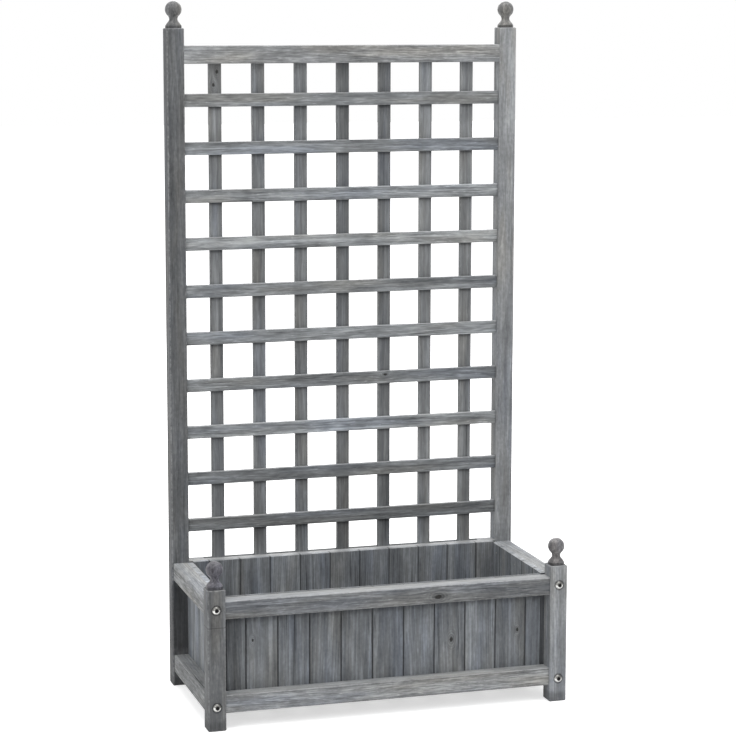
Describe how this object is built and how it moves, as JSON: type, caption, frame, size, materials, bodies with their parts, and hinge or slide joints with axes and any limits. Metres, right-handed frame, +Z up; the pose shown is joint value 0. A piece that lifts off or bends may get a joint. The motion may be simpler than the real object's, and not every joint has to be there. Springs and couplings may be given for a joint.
{
  "type": "planter with trellis",
  "caption": "Rectangular wooden planter box with corner posts, ball finials, bolted rails and matched boards, and a tall lattice trellis standing from its back edge.",
  "frame": {"origin": "on the ground, under the middle of the box", "axes": "+X along the box to the right seen from the front, +Y from the front to the trellis, +Z up"},
  "size_m": [0.64, 0.3188, 1.2115],
  "materials": {
    "post_wood": "bare softwood, weathered grey",
    "rail_wood": "bare softwood, weathered grey",
    "board_wood": "bare softwood, weathered grey",
    "slat_wood": "bare softwood, weathered grey",
    "finial_wood": "turned softwood, weathered grey",
    "floor_wood": "bare softwood, damp and grey brown",
    "bolt_steel": "bright zinc plate"
  },
  "bodies": {
    "root": {"bolts": "bolt_steel", "cross_slat_01": "slat_wood", "cross_slat_02": "slat_wood", "cross_slat_03": "slat_wood", "cross_slat_04": "slat_wood", "cross_slat_05": "slat_wood", "cross_slat_06": "slat_wood", "cross_slat_07": "slat_wood", "cross_slat_08": "slat_wood", "cross_slat_09": "slat_wood", "cross_slat_10": "slat_wood", "floor_slats": "floor_wood", "front_board_01": "board_wood", "front_board_02": "board_wood", "front_board_03": "board_wood", "front_board_04": "board_wood", "front_board_05": "board_wood", "front_board_06": "board_wood", "front_board_07": "board_wood", "front_board_08": "board_wood", "front_board_09": "board_wood", "front_board_10": "board_wood", "front_board_11": "board_wood", "front_finials": "finial_wood", "front_floor_batten": "floor_wood", "front_left_post": "post_wood", "front_lower_rail": "rail_wood", "front_right_post": "post_wood", "front_upper_rail": "rail_wood", "left_board_1": "board_wood", "left_board_2": "board_wood", "left_board_3": "board_wood", "left_board_4": "board_wood", "left_board_5": "board_wood", "left_lower_rail": "rail_wood", "left_upper_rail": "rail_wood", "rear_boards": "board_wood", "rear_finials": "finial_wood", "rear_floor_batten": "floor_wood", "rear_left_post": "post_wood", "rear_lower_rail": "rail_wood", "rear_right_post": "post_wood", "rear_upper_rail": "rail_wood", "right_board_1": "board_wood", "right_board_2": "board_wood", "right_board_3": "board_wood", "right_board_4": "board_wood", "right_board_5": "board_wood", "right_lower_rail": "rail_wood", "right_upper_rail": "rail_wood", "trellis_top_rail": "rail_wood", "upright_slat_1": "slat_wood", "upright_slat_2": "slat_wood", "upright_slat_3": "slat_wood", "upright_slat_4": "slat_wood", "upright_slat_5": "slat_wood", "upright_slat_6": "slat_wood", "upright_slat_7": "slat_wood"}
  },
  "joints": []
}
